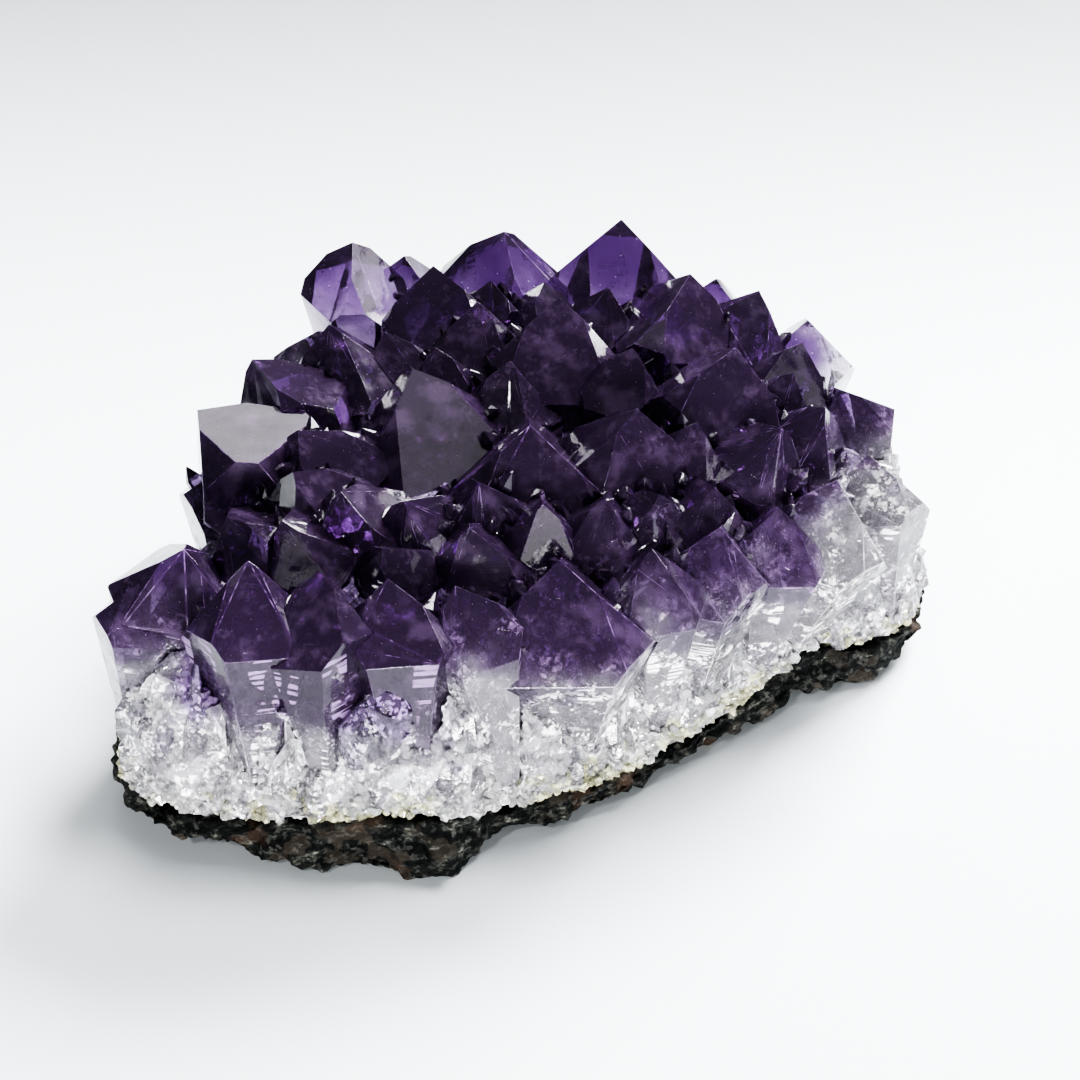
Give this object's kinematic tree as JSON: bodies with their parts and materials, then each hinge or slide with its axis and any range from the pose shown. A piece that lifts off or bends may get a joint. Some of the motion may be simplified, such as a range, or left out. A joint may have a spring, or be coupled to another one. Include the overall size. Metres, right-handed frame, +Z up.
{
  "type": "amethyst cluster",
  "caption": "Amethyst cluster: deep purple six-sided points crowded on a bed of pale columnar quartz over a thin dark rock rind, resting on its crust as a display stone.",
  "frame": {"origin": "centre of the cluster's bounding box, on the surface it rests on", "axes": "+Z up, out of the crystal face; +X along the cluster's longest side; -Y towards the broad broken front"},
  "size_m": [0.1218, 0.1024, 0.0515],
  "materials": {
    "amethyst": "gloss",
    "pale_amethyst": "gloss",
    "quartz": "satin",
    "basalt": "matte"
  },
  "bodies": {
    "root": {"middle_crystal_15": "amethyst", "front_crystal_7": "pale_amethyst", "middle_crystal_11": "amethyst", "middle_crystal_7": "amethyst", "back_crystal_3": "amethyst", "middle_crystal_9": "amethyst", "middle_crystal_10": "amethyst", "middle_crystal_16": "amethyst", "rear_crystal_2": "amethyst", "rear_crystal_3": "amethyst", "back_crystal_1": "amethyst", "middle_crystal_2": "amethyst", "middle_crystal_14": "amethyst", "front_crystal_3": "pale_amethyst", "front_crystal_11": "pale_amethyst", "back_crystal_4": "amethyst", "middle_crystal_1": "amethyst", "middle_crystal_6": "amethyst", "near_crystal_1": "amethyst", "near_crystal_4": "amethyst", "near_crystal_10": "amethyst", "front_crystal_2": "pale_amethyst", "front_crystal_4": "pale_amethyst", "front_crystal_5": "pale_amethyst", "rear_crystal_1": "amethyst", "rear_crystal_5": "amethyst", "middle_crystal_20": "amethyst", "middle_crystal_21": "amethyst", "near_crystal_5": "amethyst", "near_crystal_8": "amethyst", "front_crystal_6": "pale_amethyst", "front_crystal_8": "pale_amethyst", "front_crystal_9": "pale_amethyst", "front_crystal_10": "pale_amethyst", "right_crystal_1": "pale_amethyst", "right_crystal_2": "pale_amethyst", "right_crystal_3": "pale_amethyst", "left_crystal_1": "amethyst", "middle_crystal_12": "amethyst", "middle_crystal_18": "amethyst", "middle_crystal_19": "amethyst", "near_crystal_2": "amethyst", "near_crystal_3": "amethyst", "near_crystal_6": "amethyst", "near_crystal_12": "amethyst", "rear_crystal_4": "amethyst", "rear_crystal_6": "amethyst", "back_crystal_2": "amethyst", "middle_crystal_8": "amethyst", "middle_crystal_3": "amethyst", "middle_crystal_5": "amethyst", "middle_crystal_13": "amethyst", "middle_crystal_17": "amethyst", "near_crystal_7": "amethyst", "near_crystal_9": "amethyst", "near_crystal_11": "amethyst", "front_crystal_1": "pale_amethyst", "middle_crystal_4": "amethyst", "quartz_bed": "quartz", "basalt_rind": "basalt"}
  },
  "joints": []
}
